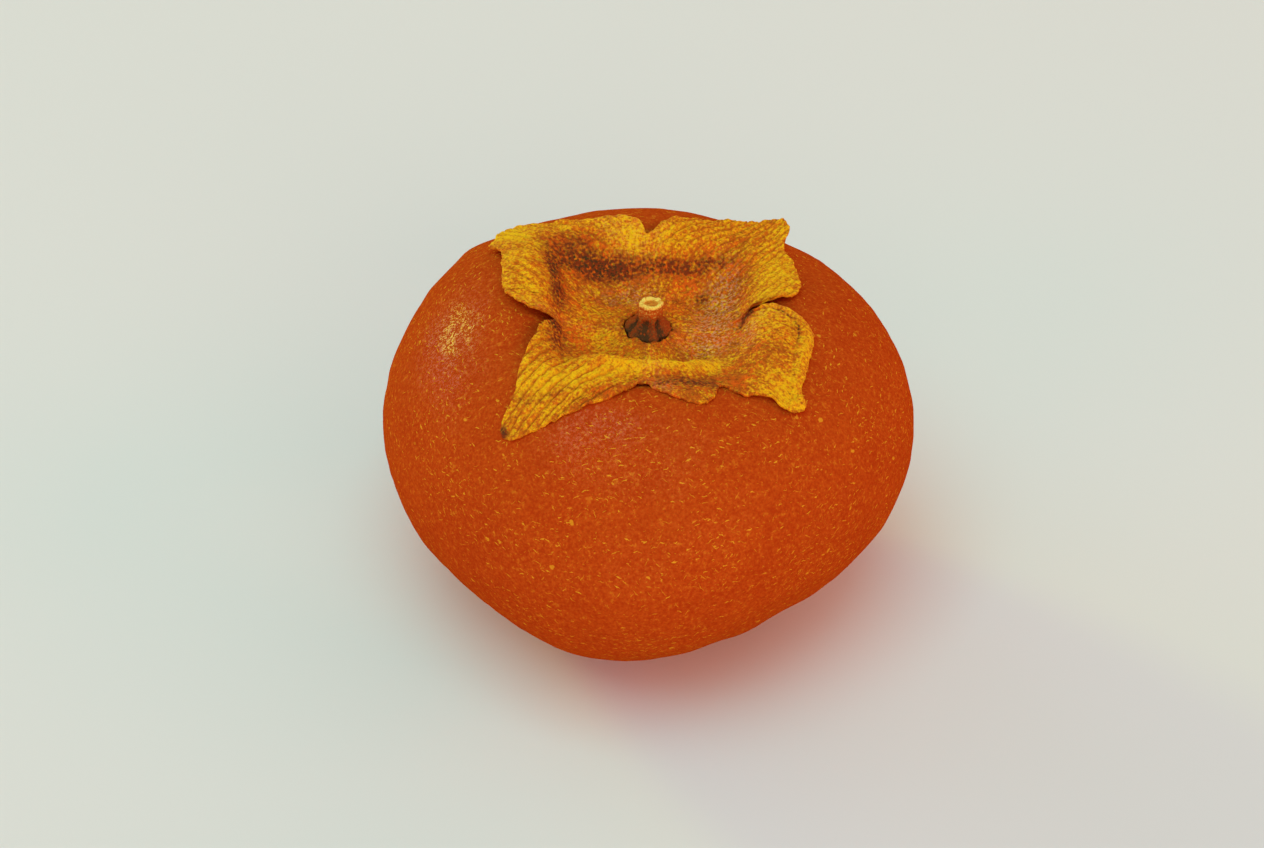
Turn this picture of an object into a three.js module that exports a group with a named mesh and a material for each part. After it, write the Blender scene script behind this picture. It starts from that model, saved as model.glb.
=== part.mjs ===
// A persimmon as picked: a squat fruit with four soft corners, the dried calyx on its crown and the
// broken stub of its stalk. Millimetres, +Z up. The origin is the middle of the flat spot that it
// rests on. An azimuth is in degrees from +X towards +Y.

import * as THREE from 'three';

// Fruit: its girth and its profile
const fruitRadius = 40; // mean, at the widest level
const crownHeight = 25.8; // from the widest level up to the crown, before the calyx's seat is sunk
const baseHeight = 28.6; // from the widest level down to the resting spot
const crownRoundness = 2.33; // power of the profile above: 2 is an ellipse, and more is squarer
const baseRoundness = 2.07; // the same below
const restRadius = 9; // of the flat resting spot

// Fruit: how far it departs from round, with the azimuth of a crest
const threeSides = { rise: 0.8, crest: 25 }; // of the radius
const crownCorners = { rise: 0.7, crest: -5 }; // of the radius above the widest level
const baseCorners = { rise: 3.2, crest: -15 }; // of the radius near the base
const baseLean = { rise: 2.3, crest: 165 }; // of the radius near the base
const crownTilt = { rise: 2.6, crest: 208 }; // of the crown's height
const crownShoulders = { rise: 2, crest: -5 }; // of the crown's height
const roundnessTilt = { rise: 0.4, crest: 80 }; // of the crown's roundness
const roundnessCorners = { rise: -0.35, crest: -5 }; // of the crown's roundness
const unevenReach = 12; // the crown is level nearer the axis than this

// The seat, which the calyx lies in
const seatHeight = 46.4; // of its floor above the resting spot
const seatRadius = 17; // to the middle of its wall
const seatSteepness = 4; // power of its profile: more makes a flatter floor and a steeper wall

// Calyx: its outline seen from above, anticlockwise, lobe by lobe from the notch at +X
const calyxOutline = [
  [14.3, 0.9], // notch at +X
  [15.4, 2.1], [17.4, 2.6], [20.9, 3.2], [22.9, 4.8], [23.5, 7.8], [22.7, 12.8], [21.3, 17.2],
  [22.3, 20.6], // tip that stands clear of the skin
  [21.5, 22.4], [17.5, 22.9], [12, 22.8], [6.8, 22], [2.8, 20.2],
  [0.3, 17.2], // notch at +Y
  [-1.2, 19.8], [-4.1, 21.3], [-8, 21.2], [-13.4, 21.6], [-17.5, 21.4], [-21.6, 19.6],
  [-24.3, 14.9], // tip
  [-22.4, 11.8], [-21.9, 6.5], [-21.6, 1.8], [-19.8, -1.9], [-17.2, -3.2],
  [-14, -3.3], // notch at -X
  [-15.6, -6.5], [-17.2, -11.2], [-18.6, -15.2], [-19.4, -19.8], [-21, -22.6],
  [-21.2, -24.2], // tip, the longest
  [-19.6, -25.5], [-16.5, -25.1], [-12.3, -23.9], [-8, -22.3], [-3.8, -20],
  [-0.6, -16.9], // notch at -Y
  [1.8, -19.9], [5, -21.9], [8.2, -22.2], [9.7, -20.4],
  [10.9, -16.6], // cleft in the lobe's own margin
  [13.8, -18.3], [19.3, -19.2],
  [21.7, -19.7], // tip
  [22.9, -17.9], [23.2, -13.8], [24.6, -7.5], [24.9, -4.2], [23.2, -1.5], [19.4, 0.5], [16.6, 0.7],
];
const calyxThickness = 0.9;
const calyxClearance = 0.5; // between the calyx and the skin under it
const craterRadius = 3.7; // of the open middle, which the stub stands in
const lobeTips = [
  { azimuth: 43, reach: 30.8, lift: 4.5 },
  { azimuth: 148, reach: 28.5, lift: 0.3 },
  { azimuth: 229, reach: 32.2, lift: 0.2 },
  { azimuth: 318, reach: 29.3, lift: 0.3 },
];
const lobeRoot = 17; // a lobe lifts off the skin beyond this

// Stub of the stalk
const stubTopHeight = 52.2; // above the resting spot
const stubClearance = 0.5; // between its foot and the skin
const stubLean = 0.7; // of its top towards +X
const stubProfile = [ // radius, and share of the stub's height
  [3, 0],
  [3, 0.12],
  [1.95, 0.5],
  [1.8, 0.9],
  [1.5, 1],
];

// How finely the surfaces are divided
const fruitColumns = 72;
const fruitCrownRows = 18;
const fruitBaseRows = 14;
const calyxColumns = 144;
const calyxRows = 8;
const stubColumns = 24;

const radians = THREE.MathUtils.degToRad;

// The height of a wave round the axis with the given number of crests
function ripple(wave, crests, azimuth) {
  return wave.rise * Math.cos(crests * radians(azimuth - wave.crest));
}

// The fruit's radius at an azimuth. low goes from 0 at the widest level to 1 at the base.
function girth(azimuth, low) {
  const above = ripple(crownCorners, 4, azimuth);
  const below = ripple(baseCorners, 4, azimuth) + ripple(baseLean, 1, azimuth);
  return fruitRadius + ripple(threeSides, 3, azimuth) + above * (1 - low) + below * low;
}

function crownPower(azimuth) {
  return crownRoundness + ripple(roundnessTilt, 1, azimuth) + ripple(roundnessCorners, 4, azimuth);
}

// The height of the skin above the resting spot, anywhere inside the widest level
function skinHeight(azimuth, reach) {
  const power = crownPower(azimuth);
  const outward = Math.min(reach / girth(azimuth, 0), 1);
  const dome = (1 - outward ** power) ** (1 / power);
  const uneven = ripple(crownTilt, 1, azimuth) + ripple(crownShoulders, 4, azimuth);
  const rise = crownHeight + uneven * (1 - Math.exp(-((reach / unevenReach) ** 2)));
  const sunk = baseHeight + crownHeight - seatHeight;
  return baseHeight + rise * dome - sunk * Math.exp(-((reach / seatRadius) ** seatSteepness));
}

function pointAt(azimuth, reach, height) {
  return new THREE.Vector3(
    reach * Math.cos(radians(azimuth)),
    reach * Math.sin(radians(azimuth)),
    height,
  );
}

function ringOf(columns, pointOf) {
  return Array.from({ length: columns }, (_, column) => pointOf(column));
}

// A closed surface through rings of points, from the lowest ring up its outside. A ring of one point
// closes an end, and a looped surface joins its last ring to its first. From the band flippedFrom
// on, the four-sided faces are split along their other diagonal.
function ringSurface(rings, looped = false, flippedFrom = Infinity) {
  const positions = rings.flat().flatMap((point) => point.toArray());
  const starts = rings.map((_, index) => rings.slice(0, index).flat().length);
  const indices = [];
  const bands = looped ? rings.length : rings.length - 1;
  for (let band = 0; band < bands; band += 1) {
    const next = (band + 1) % rings.length;
    const columns = Math.max(rings[band].length, rings[next].length);
    for (let column = 0; column < columns; column += 1) {
      const corner = (ring, step) => starts[ring] + ((column + step) % rings[ring].length);
      const [a, b, c, d] = [corner(band, 0), corner(band, 1), corner(next, 1), corner(next, 0)];
      const halves = band < flippedFrom ? [[a, b, c], [a, c, d]] : [[a, b, d], [b, c, d]];
      halves.filter((half) => new Set(half).size === 3).forEach((half) => indices.push(...half));
    }
  }
  const geometry = new THREE.BufferGeometry();
  geometry.setAttribute('position', new THREE.Float32BufferAttribute(positions, 3));
  geometry.setIndex(indices);
  geometry.computeVertexNormals();
  return geometry;
}

// The profile angle runs from the resting spot's rim, below the widest level, up to the crown's middle
function fruitGeometry() {
  const azimuthOf = (column) => (360 * column) / fruitColumns;
  const restOutward = restRadius / fruitRadius;
  const restAngle = Math.acos(restOutward ** (baseRoundness / 2));
  const baseScale = baseHeight / Math.sin(restAngle) ** (2 / baseRoundness);

  const baseRing = (angle) => {
    const outward = Math.cos(angle) ** (2 / baseRoundness);
    const height = baseHeight - baseScale * Math.sin(angle) ** (2 / baseRoundness);
    const low = Math.sin(angle) ** 2;
    return ringOf(fruitColumns, (column) => {
      const azimuth = azimuthOf(column);
      return pointAt(azimuth, outward * girth(azimuth, low), height);
    });
  };
  const crownRing = (angle) => ringOf(fruitColumns, (column) => {
    const azimuth = azimuthOf(column);
    const reach = girth(azimuth, 0) * Math.cos(angle) ** (2 / crownPower(azimuth));
    return pointAt(azimuth, reach, skinHeight(azimuth, reach));
  });

  const rings = [[new THREE.Vector3(0, 0, 0)]];
  for (let row = 0; row < fruitBaseRows; row += 1) {
    rings.push(baseRing(restAngle * (1 - row / fruitBaseRows)));
  }
  for (let row = 0; row < fruitCrownRows; row += 1) {
    rings.push(crownRing((Math.PI / 2) * (row / fruitCrownRows)));
  }
  rings.push([new THREE.Vector3(0, 0, seatHeight)]);
  return ringSurface(rings);
}

// How far a lobe lifts off the skin at a place seen from above
function lobeLift(x, y) {
  return lobeTips.reduce((total, tip) => {
    const along = x * Math.cos(radians(tip.azimuth)) + y * Math.sin(radians(tip.azimuth));
    const share = THREE.MathUtils.clamp((along - lobeRoot) / (tip.reach - lobeRoot), 0, 1);
    return total + tip.lift * share ** 2;
  }, 0);
}

function calyxGeometry() {
  const edge = new THREE.CatmullRomCurve3(
    calyxOutline.map(([x, y]) => new THREE.Vector3(x, y, 0)),
    true,
    'centripetal',
  ).getPoints(calyxColumns).slice(0, calyxColumns);

  // A ring at a share of the way from the crater to the edge, a height above the skin
  const ring = (share, above) => edge.map((point) => {
    const inner = point.clone().setLength(craterRadius);
    const { x, y } = inner.lerp(point, share);
    const azimuth = THREE.MathUtils.radToDeg(Math.atan2(y, x));
    const skin = skinHeight(azimuth, Math.hypot(x, y));
    return new THREE.Vector3(x, y, skin + above + lobeLift(x, y));
  });

  const shares = Array.from({ length: calyxRows + 1 }, (_, row) => row / calyxRows);
  const under = shares.map((share) => ring(share, calyxClearance));
  const over = shares.map((share) => ring(share, calyxClearance + calyxThickness)).reverse();
  return ringSurface([...under, ...over], true, under.length);
}

function stubGeometry() {
  const foot = seatHeight + stubClearance;
  const length = stubTopHeight - foot;
  const profile = [[0, 0], ...stubProfile, [0, 1]].map(
    ([radius, share]) => new THREE.Vector2(radius, share * length),
  );
  const geometry = new THREE.LatheGeometry(profile, stubColumns);
  geometry.rotateX(Math.PI / 2);
  const positions = geometry.getAttribute('position');
  for (let index = 0; index < positions.count; index += 1) {
    const risen = positions.getZ(index) / length;
    positions.setX(index, positions.getX(index) + stubLean * risen);
  }
  geometry.translate(0, 0, foot);
  geometry.computeVertexNormals();
  return geometry;
}

const skin = new THREE.MeshStandardMaterial({ color: 0xb9470f, roughness: 0.4, metalness: 0 });
const driedLobe = new THREE.MeshStandardMaterial({ color: 0xc48a1e, roughness: 0.85, metalness: 0 });
const driedStalk = new THREE.MeshStandardMaterial({ color: 0x9a5a28, roughness: 0.9, metalness: 0 });

function named(name, geometry, material) {
  const mesh = new THREE.Mesh(geometry, material);
  mesh.name = name;
  return mesh;
}

const persimmon = new THREE.Group();
persimmon.add(
  named('fruit', fruitGeometry(), skin),
  named('calyx', calyxGeometry(), driedLobe),
  named('stem_stub', stubGeometry(), driedStalk),
);

export default persimmon;
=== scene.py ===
"""A persimmon as picked, for Blender 4.5: the fruit, its dried calyx and the broken stub of its stalk.

Shapes are worked out in millimetres, +Z up, from the middle of the spot that the fruit rests on, and
go into the meshes in metres. An azimuth is in degrees from +X towards +Y.
"""

import bpy
import numpy as np
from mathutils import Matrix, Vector


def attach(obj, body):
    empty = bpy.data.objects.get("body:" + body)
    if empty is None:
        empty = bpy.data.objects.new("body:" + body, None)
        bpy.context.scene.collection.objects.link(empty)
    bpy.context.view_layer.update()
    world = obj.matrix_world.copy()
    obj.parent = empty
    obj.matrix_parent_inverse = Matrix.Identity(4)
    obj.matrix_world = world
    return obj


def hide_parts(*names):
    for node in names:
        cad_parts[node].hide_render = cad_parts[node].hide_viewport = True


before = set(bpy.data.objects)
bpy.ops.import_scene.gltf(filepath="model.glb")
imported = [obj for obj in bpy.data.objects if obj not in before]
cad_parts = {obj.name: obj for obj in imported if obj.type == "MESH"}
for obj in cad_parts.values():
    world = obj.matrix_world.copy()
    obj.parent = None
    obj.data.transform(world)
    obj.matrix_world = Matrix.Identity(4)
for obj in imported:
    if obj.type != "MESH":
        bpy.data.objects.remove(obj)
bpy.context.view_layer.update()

bl_info = {
    "name": "Persimmon",
    "version": (1, 0, 0),
    "blender": (4, 5, 0),
    "location": "3D View > Sidebar > Persimmon",
    "description": "A squat persimmon with its dried calyx and a stub of its stalk",
    "category": "Add Mesh",
}

MM = 0.001

# Fruit: how far it departs from round, as rise, azimuth of a crest, and number of crests
THREE_SIDES = (0.8, 25, 3)  # of the radius
CROWN_CORNERS = (0.7, -5, 4)  # of the radius above the widest level
BASE_CORNERS = (3.2, -15, 4)  # of the radius near the base
BASE_LEAN = (2.3, 165, 1)  # of the radius near the base
CROWN_TILT = (2.6, 208, 1)  # of the crown's height
CROWN_SHOULDERS = (2, -5, 4)  # of the crown's height
ROUNDNESS_TILT = (0.4, 80, 1)  # of the crown's roundness
ROUNDNESS_CORNERS = (-0.35, -5, 4)  # of the crown's roundness
CROWN_ROUNDNESS = 2.33  # power of the profile above: 2 is an ellipse, and more is squarer
BASE_ROUNDNESS = 2.07  # the same below
UNEVEN_REACH = 12  # the crown is level nearer the axis than this
SEAT_RADIUS = 17  # to the middle of the wall of the calyx's seat
SEAT_STEEPNESS = 4  # power of the seat's profile: more makes a steeper wall
REST_RADIUS = 9  # of the spot that the fruit rests on
INNERMOST = 0.02  # first ring of that spot, as a share of its radius
DIMPLE_DEPTH, DIMPLE_RADIUS = 1.5, 0.3  # blossom end, its radius as a share of the spot's
DIMPLE_GROOVES = (0.12, 40, 4)  # of the dimple's depth
FULLNESS = 0.25  # added all round, outside the calyx
OUTSIDE_CALYX = (24, 31)  # distances from the axis between which the fullness grows
RELIEF_START = (0.05, 2)  # heights between which relief grows
MIDDLE_HEIGHT = 28  # of the fruit's middle, which lights aim at and flecks lie round

# Calyx: its outline seen from above, anticlockwise, lobe by lobe from the notch at +X
CALYX_OUTLINE = (
    (14.3, 0.9),  # notch at +X
    (15.4, 2.1), (17.4, 2.6), (20.9, 3.2), (22.9, 4.8), (23.5, 7.8), (22.7, 12.8), (21.3, 17.2),
    (22.3, 20.6),  # tip that stands clear of the skin
    (21.5, 22.4), (17.5, 22.9), (12, 22.8), (6.8, 22), (2.8, 20.2),
    (0.3, 17.2),  # notch at +Y
    (-1.2, 19.8), (-4.1, 21.3), (-8, 21.2), (-13.4, 21.6), (-17.5, 21.4), (-21.6, 19.6),
    (-24.3, 14.9),  # tip
    (-22.4, 11.8), (-21.9, 6.5), (-21.6, 1.8), (-19.8, -1.9), (-17.2, -3.2),
    (-14, -3.3),  # notch at -X
    (-15.6, -6.5), (-17.2, -11.2), (-18.6, -15.2), (-19.4, -19.8), (-21, -22.6),
    (-21.2, -24.2),  # tip, the longest
    (-19.6, -25.5), (-16.5, -25.1), (-12.3, -23.9), (-8, -22.3), (-3.8, -20),
    (-0.6, -16.9),  # notch at -Y
    (1.8, -19.1), (5, -21), (8.2, -21.4), (9.7, -19.9),
    (10.9, -16.6),  # cleft in the lobe's own margin
    (13.8, -18.3), (17.6, -18.3), (19.6, -19.3),
    (21.2, -19.9),  # tip, with a small spur
    (23.3, -18.2), (22.7, -16.6),
    (23.2, -13.8), (24.6, -7.5), (24.9, -4.2), (23.2, -1.5), (19.4, 0.5), (16.6, 0.7),
)
CRATER_RADIUS = 3.7  # of the open middle, which the stub stands in
GAP = 0.62  # from the skin up to the calyx's upper face
COLLAR = (7, 4)  # radius and steepness of the thicker tissue round the crater
COLLAR_RISE, COLLAR_THICKNESS = 0.8, 0.75
EDGE_START = 0.99  # share of the way from the crater to the margin, where the edge starts to round
EDGE_RINGS = (0.997, 1.0, 1.0, 0.997)  # the same, for the rings round the edge
EDGE_DEPTHS = (0.93, 0.7, 0.3, 0.07)  # of those rings, as shares of the thickness
ROW_POWER = 0.9  # below 1, the upper face's rows are closer towards the crater

LOBES = (  # azimuth of the tip, its distance from the axis, its lift, how veined it is, vein spacing
    (43, 30.8, 4.5, 0.75, 1.3),
    (148, 28.5, 1.0, 0.55, 1.9),
    (229, 32.2, 0.2, 0.95, 1.55),
    (318, 29.3, 0.3, 0.25, 1.9),
)
LOBE_ROOT = 17  # a lobe lifts off the skin beyond this
LOBE_HALF = 50  # degrees on either side of its tip that take a lobe's grain
GRAIN_STEP = 40  # sets the grain of one lobe apart from the next one's
VEIN_WIDTH = 0.13  # as a share of the spacing
VEIN_OFFSET = 0.3  # of the nearest vein from a lobe's middle line, as a share of the spacing
VEIN_CONVERGENCE = 0.3  # share of the spacing that is lost at the tip
VEIN_START = (13, 18)  # distances from the axis between which the veins deepen

WALLS = (  # side of the tray, as an azimuth, distance of its fold, crest, width
    (90, 12.2, 1.6, 4.2),
    (180, 12.9, 1.6, 3.2),
    (0, 14.2, 1.1, 3.2),
)
LOW_CREST = 0.4  # share of its crest that a wall keeps towards its ends
RIDGE_Y, RIDGE_WIDTH = -11.8, 2.2  # front ridge, where it crosses the middle
RIDGE_BEND_LEFT, RIDGE_BEND_RIGHT = 0.012, 0.03  # to the front and to the back, per mm squared
RIDGE_OVERLAP = 0.6  # part of the ridge's height that the gap already gives
RIDGE_ENDS = (7, 13)  # distances to the side between which the ridge dies away
FLAP_START = (1.4, 3.2)  # distances in front of the ridge between which the flap begins

# Forms along the calyx's margin, by their distance from it
ROLL_MARGIN, ROLL_WIDTH, ROLL_RISE = 1.1, 0.9, 0.6
CREASE_MARGIN, CREASE_WIDTH, CREASE_DEPTH = 2.3, 0.25, 0.15
FRILL_WIDTH, FRILL_RISE = 2.0, 0.35
FRILL_START = (12, 16)  # distances from the axis between which the frill begins

# Stretches of the calyx round the axis: half of the width, and the soft edge beyond it, in degrees
WALL_SPREAD, CREST_SPREAD = (44, 14), (26, 18)  # about the middle of a wall
LOBE_SPREAD, VEIN_SPREAD = (32, 10), (38, 12)  # about the tip of a lobe

# The same, with the azimuth of the middle first
FLAP = (-72, 14, 8)  # below the front ridge
ROLLED_RIM, CREASE = (-19, 19, 6), (-8, 6, 8)  # the crease is behind the rolled rim
DRY_LOBE = (229, 26, 14)

# Soft marks on the calyx: middle x and y, half length, half width, azimuth of the length, strength
# Dark marks on the calyx: mostly painted shade in its folds, under the front ridge and in the gaps
# between lobes, laid over brown stains of the tissue; the darkest one at the longest tip is that tip's
# own colour
PAINTED_SHADE_AND_STAINS = (
    (-10.8, 13.1, 4.8, 2.2, -4, 0.88),  # wide end of the back fold
    (-11.0, 16.2, 5.0, 1.6, 0, 0.4),
    (-14.3, 9.4, 3.4, 1.4, 95, 0.9),
    (-5.0, 12.7, 4.4, 1.5, 0, 0.95),
    (3.5, 13.2, 5, 1.2, 2, 0.75),
    (9.6, 14.0, 3.2, 1.0, 8, 0.7),
    (13.6, 15.6, 2.6, 1.0, 45, 0.3),
    (-13.4, 3.6, 3.6, 1.2, 90, 0.9),  # fold on the left
    (-13.9, -4.3, 1.3, 0.9, 0, 1.0),
    (-13.2, -7.6, 4.2, 1.9, 95, 0.7),
    (6.6, -15.9, 4.0, 2.5, 0, 0.85),  # flap below the front ridge
    (2.0, -16.8, 1.8, 1.2, 0, 0.5),
    (11.8, -17.7, 1.7, 0.5, -20, 0.6),
    (15.2, 0.5, 2.3, 0.8, 50, 1.1),  # notch between the right-hand lobes
    (8.5, 9.2, 1.0, 0.8, 0, 1.1),
    (-18.6, -20.4, 2.2, 0.7, -15, 0.35),  # towards the longest tip
    (-12.7, -20.2, 4.2, 0.7, 17, 0.35),
    (-21.3, -24.3, 1.1, 1.1, 0, 1.3),
    (-9.0, 6.0, 3.2, 2.2, 60, 0.16),  # the tray's left and its far right
    (12.2, 10.8, 2.4, 1.8, 60, 0.16),
)
PAINTED_LIGHT_AND_DRY = (  # painted light where the calyx faces the light, over tissue that is drier and yellower; marks below zero are painted shade over less dried tissue
    (-21.2, 17.6, 3.6, 2.3, 150, 1.6),
    (-20.4, 8.6, 1.8, 2.4, 90, 0.3),
    (-17.5, 0.6, 3.2, 2.3, 0, 0.25),
    (-2.2, 17.0, 2.4, 1.9, 0, 0.7),
    (3.5, 17.8, 3.5, 1.5, 10, 0.3),
    (-14.5, -17.2, 5.0, 2.6, 42, 0.6),
    (-7.5, -16.2, 4.0, 1.6, 22, 1.0),
    (-6.5, -20.6, 6.0, 1.2, 30, -0.8),
    (-3.5, -13.6, 3.0, 1.2, 0, 0.6),
    (4.2, -11.4, 4.6, 1.2, 8, 0.85),
    (9.6, -9.6, 3.6, 1.2, 18, 0.85),
    (-11.0, -18.5, 2.4, 1.5, 30, 0.4),
    (-7.5, 2.5, 4.5, 1.5, 35, 0.45),
    (-9.0, 6.0, 3.2, 2.2, 60, 0.2),
    (20.0, 9.8, 3.6, 3.2, 60, 0.7),
    (18.2, 4.4, 3.0, 1.4, 0, 0.5),
    (20.8, 17.5, 1.6, 1.6, 0, 0.4),
    (20.8, -16.6, 2.2, 1.9, 60, 0.9),
    (23.6, -7.5, 5.0, 1.0, 80, 0.5),
    (-6.0, -4.0, 3.4, 2.6, 30, 0.6),
    (-0.5, -7.5, 4.0, 1.8, 0, 0.35),
    (-11.6, 16.2, 5.5, 1.9, 0, -0.8),
    (13.0, 17.2, 3.6, 1.4, 35, -0.5),
    (12.9, -15.2, 2.0, 1.6, 0, -0.7),
    (18.9, -9.4, 3.2, 3.4, 80, -0.7),
)
PAINTED_SHEEN_AND_BLOOM = (  # painted sheen where the tray's right side faces the light, over a grey powdery coat
    (10.5, 3.0, 7.5, 3.2, 85, 0.40),
    (12.3, 10.0, 4.0, 2.0, 80, 0.34),
    (9.0, -3.5, 3.6, 2.4, 0, 0.25),
    (15.2, -4.5, 3.0, 1.4, 80, 0.25),
    (2.5, -17.5, 1.6, 1.0, -20, 0.3),
    (-3.0, 8.0, 5.0, 1.8, 0, 0.2),
)
DRYNESS = 0.55  # of the walls, the ridge and the longest lobe, before the marks are added
DRY_BEYOND_FOLD = (-0.5, 4)  # distances beyond a fold between which the tissue gets drier and lighter; the darker foot of a fold is partly painted shade
DRY_RIDGE = 7  # distance beyond a fold that the top of the ridge counts as
DRY_LOBE_START = (12, 17)  # distances from the axis between which the longest lobe gets drier
# Painted shade in the crease behind the rolled rim
PAINTED_CREASE_SHADE = 0.8
# Round the crater: painted shade in its recess, over browner tissue
PAINTED_CRATER_SHADE_AND_STAIN, PAINTED_CRATER_SHADE_WIDTH = 0.45, 0.8

# Unevenness, as smooth random waves: rise, wavelength, seed
SKIN_WAVES = ((0.10, 9, 3), (0.035, 3.2, 4))
CALYX_WAVES = ((0.12, 2.6, 21), (0.06, 1.1, 22))
MARGIN_WAVES = ((0.09, 1.8, 41), (0.06, 0.7, 42))
CRATER_WAVE = (0.25, 2.5, 43)  # of the crater's radius
FOLD_WAVE = (0.45, 8, 11)  # of the distance to the tray's folds
VEIN_WAVE = (0.06, 9, 17)  # of the veins' offset
FRILL_WAVE = (0.5, 5.5, 26)  # of the share of its rise that the frill has
STUB_WAVE = (0.06, 0.9, 31)
PLANE_WAVES = 14  # that a smooth random wave is made of
WAVELENGTHS = (0.6, 1.6)  # the shortest and longest of them, as shares of the wavelength

# Soft swellings of the fruit: middle, radius, rise
SWELLINGS = (
    ((-29.0, 28.8, 44.0), 5.0, 2.0),
    ((-33.5, -17.5, 23.5), 11, 0.8),
    ((38.5, -3.0, 36.0), 12, 0.35),
    ((27.0, 23.0, 43.0), 9, 0.5),
    ((33.0, -20.0, 23.0), 10, 0.3),
)
SHINE_AND_PAINTED_HIGHLIGHT = (  # places where the wax is rubbed glossy, and where denser pale flecks paint a highlight: middle, radius, strength
    ((-29.4, -4.0, 48.3), 6.5, 0.7),
    ((-26.0, -12.0, 48.7), 4.0, 0.5),
    ((-11.0, -25.5, 47.5), 4.0, 0.22),
    ((-4.5, -23.0, 48.5), 4.0, 0.32),
)

# Stub
STUB_PROFILE = (  # radius, and height as a share of the stub's
    (3.1, 0), (3.65, 0.04), (3.55, 0.15), (2.9, 0.27), (2.3, 0.4), (2.0, 0.55), (1.85, 0.75),
    (1.83, 0.9), (1.84, 0.97),
    (1.75, 1.0), (1.3, 1.0), (1.1, 0.975),  # broken rim
    (0.95, 0.94), (0.5, 0.93), (0.2, 0.94),  # hollow pith
)
STUB_FOOT = 0.3  # height of its foot above the floor of the seat
STUB_STRETCH = 5  # of the shares of height, to set the rings evenly along the profile
STUB_FLUTES = ((0.06, -4.911, 7), (0.04, -8.815, 13))  # waves round the side
FLUTE_FADE = 1.3  # share of the height at which the flutes would end
BROKEN_RIM = ((0.08, -19.099, 3), (0.05, 0, 8))  # waves of the rim's height
BREAK_SLOPE = 0.15  # fall of the broken end towards the back
STUB_PITS = ((-162, 14), (-106, 27), (-48, 15))  # azimuth and width, in degrees
PIT_DEPTH = 0.5
PIT_ENDS, FOOT_ENDS = (0.4, 0.8), (0.4, 0.95)  # shares of the height between which they end
RIM_BEGINS, SLOPE_BEGINS = (0.8, 1), (0.5, 1)  # and between which these begin
RING_BEGINS, PITH_BEGINS = (0.93, 0.96), (0.92, 0.95)
WOOD_BEGINS, SIDE_BEGINS = (0.95, 1.15), (1.0, 1.6)  # the same for radii
RING_GAP = (8, 8, 25)  # middle azimuth, half of the width, and soft edge
RING_WEAR = 0.7  # in that gap

# How finely the surfaces are divided
FRUIT_COLUMNS = 384
FRUIT_SPOT_ROWS = 26
FRUIT_BASE_ROWS = 84
FRUIT_CROWN_ROWS = 110
OUTLINE_STEPS = 40
CALYX_COLUMNS = 720
CALYX_ROWS = 92
CALYX_UNDER_ROWS = 26
STUB_COLUMNS = 160
STUB_ROWS = 120

# Flecks in the skin: spacing, half length, half width, and tilt
SPECKS = (0.9, 0.24, 0.09, 3.0)
STROKES = (1.5, 0.55, 0.10, 1.2)
HAIRS = (1.9, 0.8, 0.07, 4.0)
SPOTS = (5.5, 0.55, 0.42, 2.0)

# Lights, in metres and watts: name, (azimuth, elevation, distance), (width, height), colour, power
KEY_LIGHT = ("overhead", (246, 72, 3.0), (2.4, 2.4), (0.28, 0.88, 0.97))
OTHER_LIGHTS = (
    ("window", (145, 14, 2.7), (3.0, 1.2), (0.675, 0.51, 1.0), 26.5),
    ("sun", (136, 16, 2.7), (0.4, 0.45), (0.70, 1.0, 0.06), 18.0),
    ("front", (285, 24, 3.0), (3.0, 1.4), (1.0, 0.67, 0.50), 34.0),
    ("back", (60, 24, 3.0), (3.0, 1.4), (1.0, 0.27, 0.17), 20.0),
    ("right", (350, 25, 3.0), (2.0, 1.4), (1.0, 0.14, 0.09), 22.0),
    ("left", (225, 20, 3.0), (2.0, 1.2), (1.0, 0.0, 0.0), 17.0),
)
ROOM_COLOUR = (0.38, 0.37, 0.36, 1)
FLOOR_HALF = 1.5  # of its width, in metres
CAMERA_AIM = (-2.22, 0.44, 28.54)
FOCAL_LENGTH = 82.6
SENSOR_WIDTH = 36


def length_setting(name, description, default):
    """A length in metres that a user can change."""
    return bpy.props.FloatProperty(name=name, description=description, default=default, unit="LENGTH")


def colour_setting(name, description, default):
    """A colour that a user can change."""
    return bpy.props.FloatVectorProperty(
        name=name, description=description, default=default, size=3, subtype="COLOR",
    )


class FruitSettings(bpy.types.PropertyGroup):
    """Sizes and colours of the fruit."""

    radius: length_setting("Radius", "Mean, at the widest level", 0.040)
    crown_height: length_setting(
        "Crown height", "From the widest level up to the crown, before the seat is sunk", 0.0258,
    )
    base_height: length_setting(
        "Base height", "From the widest level down to the resting spot", 0.0286,
    )
    seat_height: length_setting(
        "Seat height", "Of the floor that the calyx lies on, above the resting spot", 0.0464,
    )
    skin_colour: colour_setting("Skin", "Ripe skin", (0.50, 0.051, 0.0048))
    fleck_colour: colour_setting("Flecks", "Fine pale flecks in the skin", (0.72, 0.32, 0.015))
    scar_colour: colour_setting("Scar", "Dry scar of the blossom, underneath", (0.055, 0.022, 0.009))


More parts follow.
